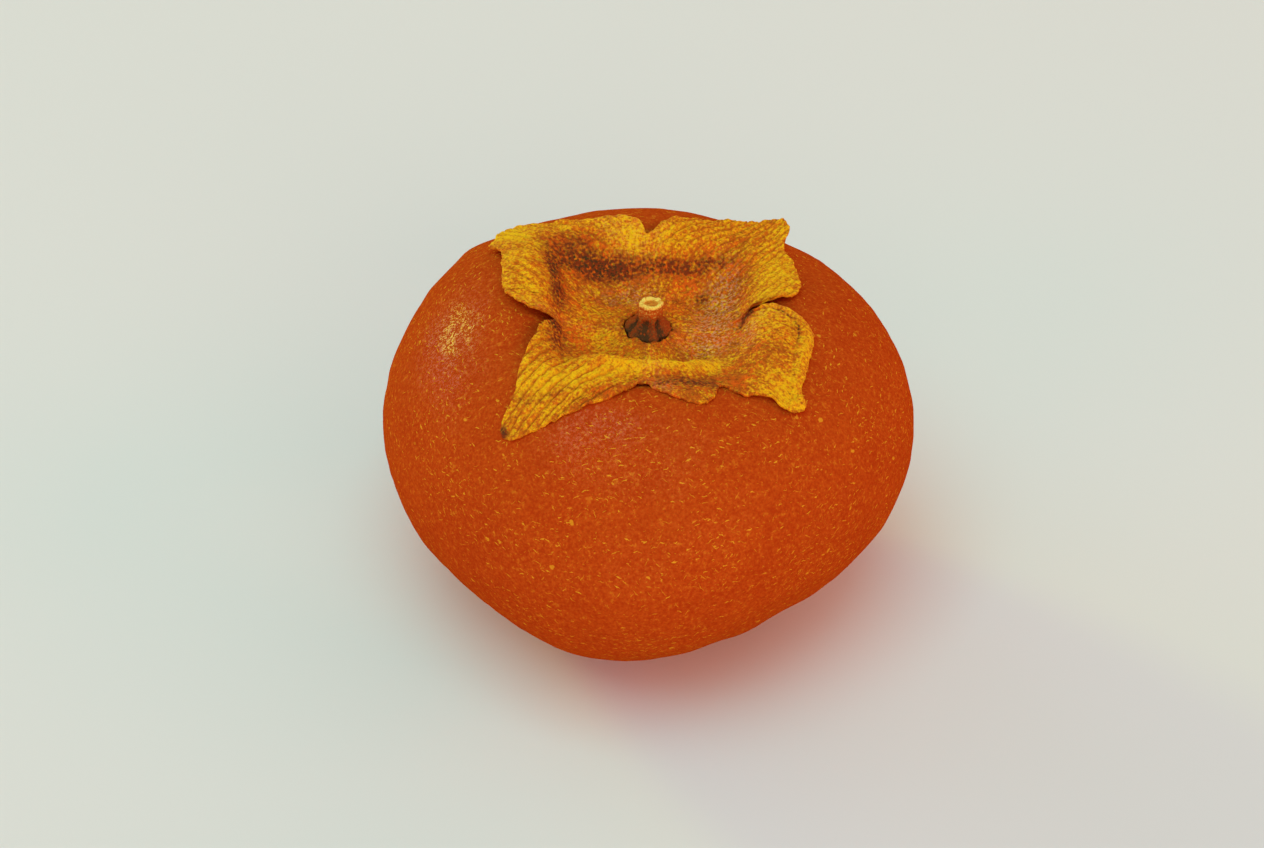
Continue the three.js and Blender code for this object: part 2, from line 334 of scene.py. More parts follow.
class CalyxSettings(bpy.types.PropertyGroup):
    """Sizes and colours of the dried calyx."""

    thickness: length_setting("Thickness", "Of a dried lobe", 0.00045)
    ridge_height: length_setting(
        "Front ridge", "Height of the fold in front of the stub, above the skin", 0.0029,
    )
    vein_depth: length_setting("Vein depth", "Depth of the grooves that run out to the tips", 0.00028)
    # Ochre and lemon also paint light where the calyx faces the light, and garnet and umber paint shade
    # in its folds, creases and gaps, over its brown stains
    ochre: colour_setting("Ochre", "Dry tissue where it is most exposed", (0.82, 0.37, 0.007))
    russet: colour_setting("Russet", "Dry tissue round the stub", (0.53, 0.11, 0.006))
    lemon: colour_setting("Lemon", "Brightest flecks of the ochre", (0.86, 0.50, 0.006))
    amber: colour_setting("Amber", "Duller flecks among the ochre", (0.66, 0.17, 0.006))
    ember: colour_setting("Ember", "Redder patches round the stub", (0.75, 0.115, 0.005))
    garnet: colour_setting("Garnet", "Stains along the folds", (0.20, 0.034, 0.007))
    umber: colour_setting("Umber", "Darkest flecks of the stains", (0.065, 0.032, 0.010))
    # Also painted sheen where the tray's right side faces the light
    bloom_and_sheen: colour_setting("Bloom", "Grey bloom beside the stub", (0.78, 0.42, 0.22))


class StubSettings(bpy.types.PropertyGroup):
    """Sizes and colours of the stub of the stalk."""

    top_height: length_setting("Top", "Height of the broken end above the resting spot", 0.05235)
    lean: length_setting("Lean", "Of the broken end towards +X", 0.0007)
    bark_colour: colour_setting("Bark", "Dry side of the stub", (0.55, 0.115, 0.010))
    foot_colour: colour_setting("Foot", "Redder foot of the stub", (0.30, 0.045, 0.006))
    # Pits: painted shade deep in the pits of the foot, over darker torn tissue
    pit_shade_colour: colour_setting("Pits", "Bottom of the pits in the foot", (0.075, 0.036, 0.012))
    pith_colour: colour_setting("Pith", "Middle of the broken end", (0.66, 0.25, 0.02))
    wood_colour: colour_setting("Wood", "Pale ring on the broken end", (0.90, 0.66, 0.11))


class StageSettings(bpy.types.PropertyGroup):
    """The floor, the light and the camera."""

    floor_colour: colour_setting("Floor", "Plain pale floor", (0.73, 0.73, 0.68))
    key_power: bpy.props.FloatProperty(
        name="Key light", description="Power of the large soft light overhead", default=49,
        unit="POWER",
    )
    camera_distance: length_setting("Camera distance", "From the camera to its aim", 0.45)
    camera_elevation: bpy.props.FloatProperty(
        name="Camera elevation", description="Above the floor", default=np.radians(39), subtype="ANGLE",
    )


def ripple(wave, azimuth):
    """A wave round the axis: rise * cos(crests * (azimuth - crest)), for a number of crests with one
    of them at an azimuth."""
    rise, crest, crests = wave
    return rise * np.cos(crests * np.radians(azimuth - crest))


def bell(value, width, power=2):
    """A smooth bump: exp(-(value/width)^power), which is 1 at zero and about a third at the width. A
    higher power has a flatter top and steeper sides."""
    return np.exp(-((value / width) ** power))


def smooth_step(low, high, value):
    """0 below low, 1 above high, and t*t*(3 - 2t) between, for the share t of the way."""
    share = np.clip((value - low) / (high - low), 0, 1)
    return share * share * (3 - 2 * share)


def apart(azimuth, middle):
    """Degrees between two azimuths, the shorter way round."""
    return np.abs((azimuth - middle + 180) % 360 - 180)


def window(azimuth, middle, half, soft):
    """1 within half of the middle azimuth, 0 beyond half + soft, and a smooth fall between."""
    return 1 - smooth_step(half, half + soft, apart(azimuth, middle))


def turned(x, y, azimuth):
    """How far places lie along an azimuth, x cos + y sin, and to its left, y cos - x sin."""
    turn = np.radians(azimuth)
    return x * np.cos(turn) + y * np.sin(turn), y * np.cos(turn) - x * np.sin(turn)


def polar(azimuth, reach, height):
    """Points from cylindrical coordinates, as an array with a last axis of three."""
    angle = np.radians(azimuth)
    return np.stack(np.broadcast_arrays(reach * np.cos(angle), reach * np.sin(angle), height), -1)


def wobble(points, *waves):
    """Smooth random heights added up, each mostly within its rise of zero. One is its rise times the
    sum of plane waves in seeded directions, over the root of their number."""
    total = 0
    for rise, wavelength, seed in waves:
        draw = np.random.default_rng(seed)
        directions = draw.normal(size=(PLANE_WAVES, points.shape[-1]))
        directions /= np.linalg.norm(directions, axis=1, keepdims=True)
        lengths = wavelength * draw.uniform(*WAVELENGTHS, PLANE_WAVES)
        phases = draw.uniform(0, 2 * np.pi, PLANE_WAVES)
        planes = np.cos(points @ (directions / lengths[:, None]).T * 2 * np.pi + phases)
        total = total + rise * (planes.sum(-1) / PLANE_WAVES**0.5)
    return total


def bumps(points, places):
    """Soft round bumps added up: each is its strength times exp(-(distance/radius)^2)."""
    total = np.zeros(points.shape[:-1])
    for middle, radius, strength in places:
        total += strength * bell(np.linalg.norm(points - np.array(middle), axis=-1), radius)
    return total


def evenly(path, count, stretch=1, endpoint=True):
    """The two columns of a path at even steps along it, once its second column is stretched."""
    steps = np.linalg.norm(np.diff(path * [1, stretch], axis=0), axis=1)
    walked = np.concatenate([[0], np.cumsum(steps)])
    even = np.linspace(0, walked[-1], count, endpoint=endpoint)
    return [np.interp(even, walked, column) for column in path.T]


def girth(azimuth, low):
    """The fruit's radius: the mean, three soft sides, and four soft corners that shift towards the
    base. low goes from 0 at the widest level to 1 at the base."""
    mean = bpy.context.scene.persimmon_fruit.radius / MM
    above = ripple(CROWN_CORNERS, azimuth)
    below = ripple(BASE_CORNERS, azimuth) + ripple(BASE_LEAN, azimuth)
    return mean + ripple(THREE_SIDES, azimuth) + above * (1 - low) + below * low


def crown_power(azimuth):
    """The power of the crown's profile, which changes round the fruit."""
    return CROWN_ROUNDNESS + ripple(ROUNDNESS_TILT, azimuth) + ripple(ROUNDNESS_CORNERS, azimuth)


def skin_height(azimuth, reach):
    """The skin above the resting spot: a superellipse dome of uneven height, less the calyx's seat,
    which is a flat-bottomed bell."""
    fruit = bpy.context.scene.persimmon_fruit
    base, crown = fruit.base_height / MM, fruit.crown_height / MM
    power = crown_power(azimuth)
    outward = np.minimum(reach / girth(azimuth, 0), 1)
    dome = (1 - outward**power) ** (1 / power)
    uneven = ripple(CROWN_TILT, azimuth) + ripple(CROWN_SHOULDERS, azimuth)
    rise = crown + uneven * (1 - bell(reach, UNEVEN_REACH))
    sunk = base + crown - fruit.seat_height / MM
    return base + rise * dome - sunk * bell(reach, SEAT_RADIUS, SEAT_STEEPNESS)


def ring_faces(rows, columns, looped=False):
    """Four-sided faces between neighbouring rings of a grid whose columns close round."""
    bands = rows if looped else rows - 1
    row, column = np.meshgrid(np.arange(bands), np.arange(columns), indexing="ij")
    below, above = row * columns, (row + 1) % rows * columns
    after = (column + 1) % columns
    return np.stack([below + column, below + after, above + after, above + column], -1).reshape(-1, 4)


def mesh_object(name, rings, fields, poles=(), looped=False):
    """A smooth closed mesh from rings of points in millimetres, with its fields as attributes. poles
    are a point that closes the first ring and one that closes the last, and take their fields from
    those rings. A looped grid joins its last ring to its first."""
    rows, columns = rings.shape[:2]
    vertices = rings.reshape(-1, 3)
    faces = ring_faces(rows, columns, looped).tolist()
    if len(poles):
        around = np.arange(columns)
        after = (around + 1) % columns
        first, last = len(vertices), len(vertices) + 1
        top = (rows - 1) * columns
        vertices = np.concatenate([vertices, np.array(poles, float)])
        faces += np.stack([np.full(columns, first), after, around], -1).tolist()
        faces += np.stack([top + around, top + after, np.full(columns, last)], -1).tolist()
    mesh = bpy.data.meshes.new(name)
    mesh.from_pydata(vertices * MM, [], faces)
    mesh.polygons.foreach_set("use_smooth", np.ones(len(mesh.polygons), bool))
    for key, values in fields.items():
        vector = values.ndim == 3
        values = np.broadcast_to(values, (rows, columns, *values.shape[2:]))
        values = values.reshape(rows * columns, -1)
        if len(poles):
            values = np.concatenate([values, values[[0, -1]]])
        attribute = mesh.attributes.new(key, "FLOAT_VECTOR" if vector else "FLOAT", "POINT")
        attribute.data.foreach_set("vector" if vector else "value", values.astype(np.float32).ravel())
    piece = bpy.data.objects.new(name, mesh)
    bpy.context.scene.collection.objects.link(piece)
    return piece


def finish_piece(piece, node, material):
    """The piece rides on the part's one body, stands for its CAD node and takes its material."""
    piece.data.materials.append(material)
    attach(piece, "root")
    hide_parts(node)


def fruit_rings():
    """Rings of the fruit from the resting spot up to the crown's middle. Below the widest level the
    reach is cos(angle)^(2/power) of the girth and the drop is sin(angle)^(2/power) of the base's
    height. Above it the skin's height follows from the reach. Inside the resting spot the blossom end
    is a shallow dimple with four faint grooves. Fullness, unevenness and swellings then move each
    point away from the middle of the widest level."""
    fruit = bpy.context.scene.persimmon_fruit
    base = fruit.base_height / MM
    azimuth = np.arange(FRUIT_COLUMNS) * 360 / FRUIT_COLUMNS

    rest_angle = np.arccos((REST_RADIUS * MM / fruit.radius) ** (BASE_ROUNDNESS / 2))
    angle = np.linspace(rest_angle, 0, FRUIT_BASE_ROWS, endpoint=False)[:, None]
    drop = (np.sin(angle) / np.sin(rest_angle)) ** (2 / BASE_ROUNDNESS)
    low = np.sin(angle) ** 2
    reach = np.cos(angle) ** (2 / BASE_ROUNDNESS) * girth(azimuth, low)
    lower = polar(azimuth, reach, base * (1 - drop))

    share = np.linspace(INNERMOST, 1, FRUIT_SPOT_ROWS, endpoint=False)[:, None]
    dimple = DIMPLE_DEPTH * bell(share, DIMPLE_RADIUS) * (1 + ripple(DIMPLE_GROOVES, azimuth))
    spot = polar(azimuth, share * reach[0], dimple)

    angle = np.linspace(0, np.pi / 2, FRUIT_CROWN_ROWS, endpoint=False)[:, None]
    reach = girth(azimuth, 0) * np.cos(angle) ** (2 / crown_power(azimuth))
    upper = polar(azimuth, reach, skin_height(azimuth, reach))
    rings = np.concatenate([spot, lower, upper])

    outward = rings - np.array([0, 0, base])
    outward /= np.linalg.norm(outward, axis=-1, keepdims=True)
    outside = smooth_step(*OUTSIDE_CALYX, np.hypot(rings[..., 0], rings[..., 1]))
    relief = FULLNESS * outside + wobble(rings, *SKIN_WAVES) + bumps(rings, SWELLINGS)
    above_spot = smooth_step(*RELIEF_START, rings[..., 2])
    return rings + outward * (relief * above_spot)[..., None]


def calyx_edge():
    """The calyx's outline as a closed Catmull-Rom curve, at even steps. A stretch of it follows from
    four corners, whose times are the roots of the distances between them, added up."""
    corners = np.array(CALYX_OUTLINE, float)
    points = [np.roll(corners, shift, 0) for shift in (1, 0, -1, -2)]
    roots = [np.linalg.norm(after - here, axis=1) ** 0.5 for here, after in zip(points, points[1:])]
    times = np.cumsum([np.zeros(len(corners)), *roots], axis=0)
    now = times[1] + (times[2] - times[1]) * np.arange(OUTLINE_STEPS)[:, None] / OUTLINE_STEPS

    def between(low_point, high_point, low, high):
        """Where a straight path is now, if it is at the points at the times with these numbers."""
        share = ((now - times[low]) / (times[high] - times[low]))[..., None]
        return low_point * (1 - share) + high_point * share

    lines = [between(points[first], points[first + 1], first, first + 1) for first in range(3)]
    bends = [between(lines[first], lines[first + 1], first, first + 2) for first in range(2)]
    curve = between(*bends, 1, 2).transpose(1, 0, 2).reshape(-1, 2)
    closed = np.concatenate([curve, curve[:1]])
    return np.stack(evenly(closed, CALYX_COLUMNS, endpoint=False), -1)


def marked(marks, x, y):
    """Soft elliptical marks added up: each is its strength times exp(-(along/length)^2 -
    (across/width)^2)."""
    total = np.zeros_like(x)
    for middle_x, middle_y, length, width, azimuth, strength in marks:
        along, across = turned(x - middle_x, y - middle_y, azimuth)
        total = total + strength * bell(np.hypot(along / length, across / width), 1)
    return total


def tray_walls(x, y, azimuth):
    """The rise of the walls round the tray, and how far places lie beyond the folds at their foot. At
    t widths beyond its fold, a wall has t*exp(1 - t) of its crest."""
    bend = wobble(np.stack([x, y], -1), FOLD_WAVE)
    rise, beyond_tray = 0, -np.inf
    for side, distance, crest, width in WALLS:
        beyond = turned(x, y, side)[0] - distance + bend
        crest_share = LOW_CREST + (1 - LOW_CREST) * window(azimuth, side, *CREST_SPREAD)
        inside = window(azimuth, side, *WALL_SPREAD)
        widths = np.clip(beyond, 0, None) / width
        rise = rise + crest * widths * np.exp(1 - widths) * crest_share * inside
        beyond_tray = np.maximum(beyond_tray, beyond)
    return rise, beyond_tray


def front_ridge(x, y, azimuth):
    """The round ridge in front of the stub and the flap that hangs down from it, each from 0 to 1.
    The ridge is a bell across a line that bends with the square of x."""
    bend = np.where(x > 0, RIDGE_BEND_RIGHT, RIDGE_BEND_LEFT)
    line = RIDGE_Y + bend * x * np.abs(x)
    ridge = bell(y - line, RIDGE_WIDTH) * (1 - smooth_step(*RIDGE_ENDS, np.abs(x)))
    flap = smooth_step(*FLAP_START, line - y) * window(azimuth, *FLAP)
    return ridge, flap


def lobe_forms(x, y, azimuth, reach):
    """The lift of the lobes, their veins, how near places are to a lobe's middle, and their grain.

    The lift grows with the cube of the distance along a lobe. Veins are round-bottomed grooves at
    even steps across it, which draw together towards its tip. The grain of a place is its distances
    across and along its lobe, and a number that differs from lobe to lobe."""
    stray = wobble(np.stack([x, y], -1), VEIN_WAVE)
    lift, vein, lobe = 0, 0, 0
    grain = np.zeros((*x.shape, 3))
    for number, (tip_azimuth, tip_reach, tip_lift, veined, spacing) in enumerate(LOBES):
        along, across = turned(x, y, tip_azimuth)
        share = np.clip((along - LOBE_ROOT) / (tip_reach - LOBE_ROOT), 0, 1)
        lift = lift + tip_lift * share**3
        near = window(azimuth, tip_azimuth, *VEIN_SPREAD) * smooth_step(*VEIN_START, reach)
        phase = across / (spacing * (1 - VEIN_CONVERGENCE * share)) + stray + VEIN_OFFSET
        vein = np.maximum(vein, veined * bell(phase - np.round(phase), VEIN_WIDTH) * near)
        lobe = np.maximum(lobe, window(azimuth, tip_azimuth, *LOBE_SPREAD))
        own = np.stack([across, along, np.full_like(x, GRAIN_STEP * number)], -1)
        grain = np.where((apart(azimuth, tip_azimuth) <= LOBE_HALF)[..., None], own, grain)
    return lift, vein, lobe, grain


def calyx_form(x, y, margin):
    """The calyx's upper face at places seen from above, and the fields that its material reads.
    margin is their distance to the outline.

    The height is the skin's plus a gap, less the veins. The gap adds up the collar round the crater,
    the tray's walls, the front ridge, the lift of the lobes, the rolled rim, which has a crease
    behind it, and a frill along the margin."""
    calyx = bpy.context.scene.persimmon_calyx
    azimuth, reach = np.degrees(np.arctan2(y, x)), np.hypot(x, y)
    place = np.stack([x, y], -1)
    walls, beyond_tray = tray_walls(x, y, azimuth)
    ridge, flap = front_ridge(x, y, azimuth)
    lift, vein, lobe, grain = lobe_forms(x, y, azimuth, reach)
    roll = window(azimuth, *ROLLED_RIM) * bell(margin - ROLL_MARGIN, ROLL_WIDTH)
    crease = window(azimuth, *CREASE) * bell(margin - CREASE_MARGIN, CREASE_WIDTH)
    frill = bell(margin, FRILL_WIDTH) * (0.5 + wobble(place, FRILL_WAVE))
    frill = frill * smooth_step(*FRILL_START, reach) * (1 - flap)

    gap = GAP + COLLAR_RISE * bell(reach, *COLLAR) + walls + lift
    gap = gap + (calyx.ridge_height / MM - RIDGE_OVERLAP) * ridge
    gap = gap + ROLL_RISE * roll - CREASE_DEPTH * crease + FRILL_RISE * frill
    height = skin_height(azimuth, reach) + gap - calyx.vein_depth / MM * vein
    height = height + wobble(place, *CALYX_WAVES)

    # Drier, so lighter, up the walls and on top of the front ridge, and less dried, so darker, at the
    # foot of each fold and on the flap under the ridge: partly painted light and shade, partly the
    # tissue's own colour
    dry_and_lit = smooth_step(*DRY_BEYOND_FOLD, np.maximum(beyond_tray, ridge * DRY_RIDGE)) * (1 - flap)
    dry_lobe = window(azimuth, *DRY_LOBE) * smooth_step(*DRY_LOBE_START, reach)
    crater = bell(reach - CRATER_RADIUS, PAINTED_CRATER_SHADE_WIDTH)
    # Fields: painted light and painted shade from the marks on the drier tissue; painted shade in the
    # folds, the crease and round the crater, over brown stains; painted sheen over a grey powdery coat
    fields = {
        "dry_and_lit": DRYNESS * np.maximum(dry_and_lit, dry_lobe) + marked(PAINTED_LIGHT_AND_DRY, x, y),
        "stain_and_shade": marked(PAINTED_SHADE_AND_STAINS, x, y) + PAINTED_CREASE_SHADE * crease + PAINTED_CRATER_SHADE_AND_STAIN * crater,
        "pale": marked(PAINTED_SHEEN_AND_BLOOM, x, y), "vein": vein, "lobe": lobe, "grain": grain,
    }
    return height, fields


def calyx_rings():
    """Rings of the calyx: the under face out from the crater, round the edge, and the upper face back
    in. A ring is a share of the way from the crater to the outline, along each azimuth."""
    calyx = bpy.context.scene.persimmon_calyx
    edge = calyx_edge()
    out = edge / np.linalg.norm(edge, axis=1, keepdims=True)
    edge = edge + out * wobble(edge, *MARGIN_WAVES)[:, None]
    inner = out * (CRATER_RADIUS + wobble(out * CRATER_RADIUS, CRATER_WAVE))[:, None]
    length = np.linalg.norm(edge - inner, axis=1)
    under = np.linspace(0, EDGE_START, CALYX_UNDER_ROWS)
    over = EDGE_START * (1 - (np.arange(CALYX_ROWS) / (CALYX_ROWS - 1)) ** ROW_POWER)
    shares = np.concatenate([under, EDGE_RINGS, over])[:, None]
    place = inner + (edge - inner) * shares[..., None]
    x, y = place[..., 0], place[..., 1]
    height, fields = calyx_form(x, y, (1 - shares) * length)
    thickness = calyx.thickness / MM + COLLAR_THICKNESS * bell(np.hypot(x, y), *COLLAR)
    down = np.concatenate([np.ones(CALYX_UNDER_ROWS), EDGE_DEPTHS, np.zeros(CALYX_ROWS)])
    rings = np.concatenate([place, (height - thickness * down[:, None])[..., None]], -1)
    return rings, fields


def stub_rings():
    """Rings of the stub from its foot up its fluted side, over the broken rim and down to the pith,
    with the fields that its material reads. Three pits are sunk in the front of the foot, and the
    pale ring on the broken end is worn away on the side of +X."""
    stub = bpy.context.scene.persimmon_stub
    foot = bpy.context.scene.persimmon_fruit.seat_height / MM + STUB_FOOT
    top = stub.top_height / MM
    profile = evenly(np.array(STUB_PROFILE), STUB_ROWS, STUB_STRETCH)
    radius, share = (column[:, None] for column in profile)
    azimuth = np.arange(STUB_COLUMNS) * 360 / STUB_COLUMNS
    side = smooth_step(*SIDE_BEGINS, radius)

    pits = sum(bell(apart(azimuth, middle), width) for middle, width in STUB_PITS)
    pits = pits * (1 - smooth_step(*PIT_ENDS, share))
    flutes = sum(ripple(wave, azimuth) for wave in STUB_FLUTES)
    reach = radius + flutes * side * (FLUTE_FADE - share) - PIT_DEPTH * pits
    height = foot + share * (top - foot)
    broken = sum(ripple(wave, azimuth) for wave in BROKEN_RIM)
    height = height + broken * smooth_step(*RIM_BEGINS, share) * side
    back = reach * np.sin(np.radians(azimuth))
    height = height - BREAK_SLOPE * back * smooth_step(*SLOPE_BEGINS, share)
    rings = polar(azimuth, reach, height)
    rings[..., 0] += stub.lean / MM * share
    rings = rings + (wobble(rings, STUB_WAVE) * side)[..., None]

    wood = smooth_step(*WOOD_BEGINS, radius)
    worn = window(azimuth, *RING_GAP)
    fields = {
        "ring": wood * smooth_step(*RING_BEGINS, share) * (1 - RING_WEAR * worn),
        "pith": (1 - wood * (1 - worn)) * smooth_step(*PITH_BEGINS, share),
        "pit": pits,
        "foot": 1 - smooth_step(*FOOT_ENDS, share),
    }
    return rings, fields


class Value:
    """A node's output that Python's arithmetic works on, by adding Math nodes to its material."""

    def __init__(self, nodes, socket):
        self.nodes = nodes
        self.socket = socket

    def math(self, operation, *values):
        """One Math node."""
        inputs = dict(enumerate(values))
        return self.nodes.add("ShaderNodeMath", {"operation": operation}, inputs)

    def __add__(self, other):
        return self.math("ADD", self, other)

    __radd__ = __add__

    def __sub__(self, other):
        return self.math("SUBTRACT", self, other)

    def __rsub__(self, other):
        return self.math("SUBTRACT", other, self)

    def __mul__(self, other):
        return self.math("MULTIPLY", self, other)

    __rmul__ = __mul__

    def __truediv__(self, other):
        return self.math("DIVIDE", self, other)

    def clipped(self):
        """The value, kept between 0 and 1."""
        return self.math("MINIMUM", self.math("MAXIMUM", self, 0), 1)


class Nodes:
    """A material whose nodes are added one call at a time."""

    def __init__(self, name):
        self.material = bpy.data.materials.new(name)
        self.material.use_nodes = True
        self.tree = self.material.node_tree
        self.tree.nodes.clear()

    def add(self, kind, settings=None, inputs=None, output=0):
        """A node with its settings made first, and then the values or links of its sockets."""
        node = self.tree.nodes.new(kind)
        for key, setting in (settings or {}).items():
            setattr(node, key, setting)
        for key, value in (inputs or {}).items():
            if isinstance(value, Value):
                self.tree.links.new(value.socket, node.inputs[key])
            else:
                node.inputs[key].default_value = value
        return Value(self, node.outputs[output]) if node.outputs else node

    def point(self):
        """The place on the piece in millimetres."""
        place = self.add("ShaderNodeTexCoord", output="Object")
        return self.vector("SCALE", place, scale=1 / MM)

    def vector(self, operation, *values, scale=None, output=0):
        """One Vector Math node. An operation that gives a number has it on the output called Value."""
        inputs = dict(enumerate(values))
        if scale is not None:
            inputs["Scale"] = scale
        return self.add("ShaderNodeVectorMath", {"operation": operation}, inputs, output)

    def attribute(self, name, output="Fac"):
        """A field of the piece's mesh, as a number or, on the output called Vector, as a vector."""
        return self.add("ShaderNodeAttribute", {"attribute_name": name}, output=output)

    def noise(self, point, size, detail, roughness=0.5, output="Fac"):
        """Smooth noise about 0.5, with blobs of the size and octaves of detail."""
        inputs = {"Vector": point, "Scale": 1 / size, "Detail": detail, "Roughness": roughness}
        return self.add("ShaderNodeTexNoise", None, inputs, output)

    def ragged(self, point, size, reach):
        """The point moved by up to half the reach each way, so that what it draws gets a rough edge."""
        stray = self.vector("SUBTRACT", self.noise(point, size, 1, output="Color"), (0.5, 0.5, 0.5))
        return self.vector("ADD", point, self.vector("SCALE", stray, scale=reach))

    def spokes(self, point, outward, turn, along):
        """A place for noise that makes streaks out from the axis: the direction times turn, plus the
        point times along."""
        around = self.vector("SCALE", outward, scale=turn)
        return self.vector("ADD", around, self.vector("SCALE", point, scale=along))

    def step(self, value, low, high):
        """0 where the value is at low, 1 where it is at high, and a smooth change between."""
        settings = {"interpolation_type": "SMOOTHSTEP"}
        inputs = {"Value": value, "From Min": low, "From Max": high}
        return self.add("ShaderNodeMapRange", settings, inputs)

    def mix(self, first, second, factor):
        """One colour turned towards another. Each is a node's output, or three numbers."""
        colours = [c if isinstance(c, Value) else (*c, 1) for c in (first, second)]
        inputs = {0: factor, 6: colours[0], 7: colours[1]}
        return self.add("ShaderNodeMix", {"data_type": "RGBA"}, inputs, 2)

    def surface(self, constants, varying, height=None, bump_distance=None):
        """The material's shader. constants are the sockets that are alike all over. Relief of the
        height times the bump's distance, in metres, turns its normals."""
        inputs = {**constants, **varying}
        if height is not None:
            bump = {"Height": height, "Distance": bump_distance, "Strength": 1.0}
            inputs["Normal"] = self.add("ShaderNodeBump", None, bump)
        shader = self.add("ShaderNodeBsdfPrincipled", None, inputs)
        self.add("ShaderNodeOutputMaterial", None, {"Surface": shader})
        return self.material


def flecks(nodes, point, share, spacing, length, width, tilt):
    """A mask of short strokes that lie round the girth, one in each of a share of random cells.

    A stroke is an ellipse about its cell's own point: (along/length)^2 + (across/width)^2 is less
    than the square of its size, which is between a half and 1. It leaves the level by a slope of up
    to half the tilt each way."""
    inputs = {"Vector": point, "Scale": 1 / spacing}
    centre = nodes.add("ShaderNodeTexVoronoi", {"feature": "F1"}, inputs, "Position")
    cell = centre.socket.node
    random = nodes.add("ShaderNodeSeparateColor", None, {0: Value(nodes, cell.outputs["Color"])})
    slope, size, chance = (Value(nodes, random.socket.node.outputs[index]) for index in range(3))
    offset = nodes.vector("SUBTRACT", point, centre)
    level = nodes.vector("NORMALIZE", nodes.vector("CROSS_PRODUCT", (0, 0, 1), centre))
    outward = nodes.vector("NORMALIZE", nodes.vector("SUBTRACT", centre, (0, 0, MIDDLE_HEIGHT)))
    upward = nodes.vector("CROSS_PRODUCT", outward, level)
    rise = nodes.vector("SCALE", upward, scale=(slope - 0.5) * tilt)
    direction = nodes.vector("NORMALIZE", nodes.vector("ADD", level, rise))
    along = nodes.vector("DOT_PRODUCT", offset, direction, output="Value")
    depth = nodes.vector("DOT_PRODUCT", offset, outward, output="Value")
    whole_squared = nodes.vector("DOT_PRODUCT", offset, offset, output="Value")
    across_squared = (whole_squared - along * along - depth * depth).clipped()
    distance = along * along / length**2 + across_squared / width**2
    size = 0.5 + size * 0.5
    inside = nodes.step(distance / (size * size), 1.0, 0.3)
    return inside * chance.math("LESS_THAN", chance, share)


def skin_material():
    """Ripe waxy skin: orange-red, a little mottled, with fine pale flecks that lie round the girth,
    a few pale spots, and a small dried scar underneath. The flecks grow denser on glossy patches,
    as a painted highlight."""
    fruit = bpy.context.scene.persimmon_fruit
    nodes = Nodes("persimmon_skin")
    point = nodes.point()
    mottle = nodes.noise(point, 7, 3)
    fine = nodes.noise(point, 0.8, 3, 0.6)
    grain = nodes.noise(point, 0.38, 1)
    cloud = nodes.noise(point, 11, 2)
    shine_and_painted_highlight = nodes.attribute("shine_and_painted_highlight")
    ragged = nodes.ragged(point, 0.4, 0.45)
    # Denser pale flecks on the glossy patches: a painted highlight
    share = 0.25 + nodes.step(cloud, 0.38, 0.66) * 0.6 + shine_and_painted_highlight * 0.8
    specks = flecks(nodes, ragged, share, *SPECKS)
    strokes = flecks(nodes, ragged, share * 0.65, *STROKES)
    hairs = flecks(nodes, ragged, share * 0.65, *HAIRS)
    spots = flecks(nodes, nodes.ragged(point, 0.9, 0.9), 0.16, *SPOTS)

    deep = [channel * 0.82 for channel in fruit.skin_colour]
    both = zip(fruit.skin_colour, fruit.fleck_colour)
    bright = [0.9 * ripe + 0.1 * fleck for ripe, fleck in both]
    tone = 0.45 + (grain - 0.5) * 2.0 + (fine - 0.5) * 1.8 + (mottle - 0.5) * 0.6
    colour = nodes.mix(deep, bright, tone.clipped())
    pale = (nodes.step(fine, 0.58, 0.72) * 0.25, specks * 0.32, hairs * 0.6,
            strokes * (0.6 + fine * 0.5), spots * 0.7)
    for mask in pale:
        colour = nodes.mix(colour, fruit.fleck_colour, mask)
    from_axis = nodes.vector("LENGTH", nodes.vector("MULTIPLY", point, (1, 1, 0)), output="Value")
    scar = nodes.step(from_axis + (fine - 0.5) * 2.5, 1.7, 0.9)
    colour = nodes.mix(colour, fruit.scar_colour, scar * 0.9)
    roughness = 0.44 + (mottle - 0.5) * 0.16 + strokes * 0.1
    height = fine * 0.4 + grain * 0.2 + mottle * 0.5 + strokes * 0.4
    wax = (0.045 + shine_and_painted_highlight) * (0.006 + nodes.step(grain * 0.6 + fine * 0.4, 0.47, 0.6) * 0.09)
    varying = {"Base Color": colour, "Roughness": roughness, "Coat Weight": wax}
    constants = {"Specular IOR Level": 0.0, "Coat IOR": 4.0, "Coat Roughness": 0.24}
    return nodes.surface(constants, varying, height, 0.03 * MM)


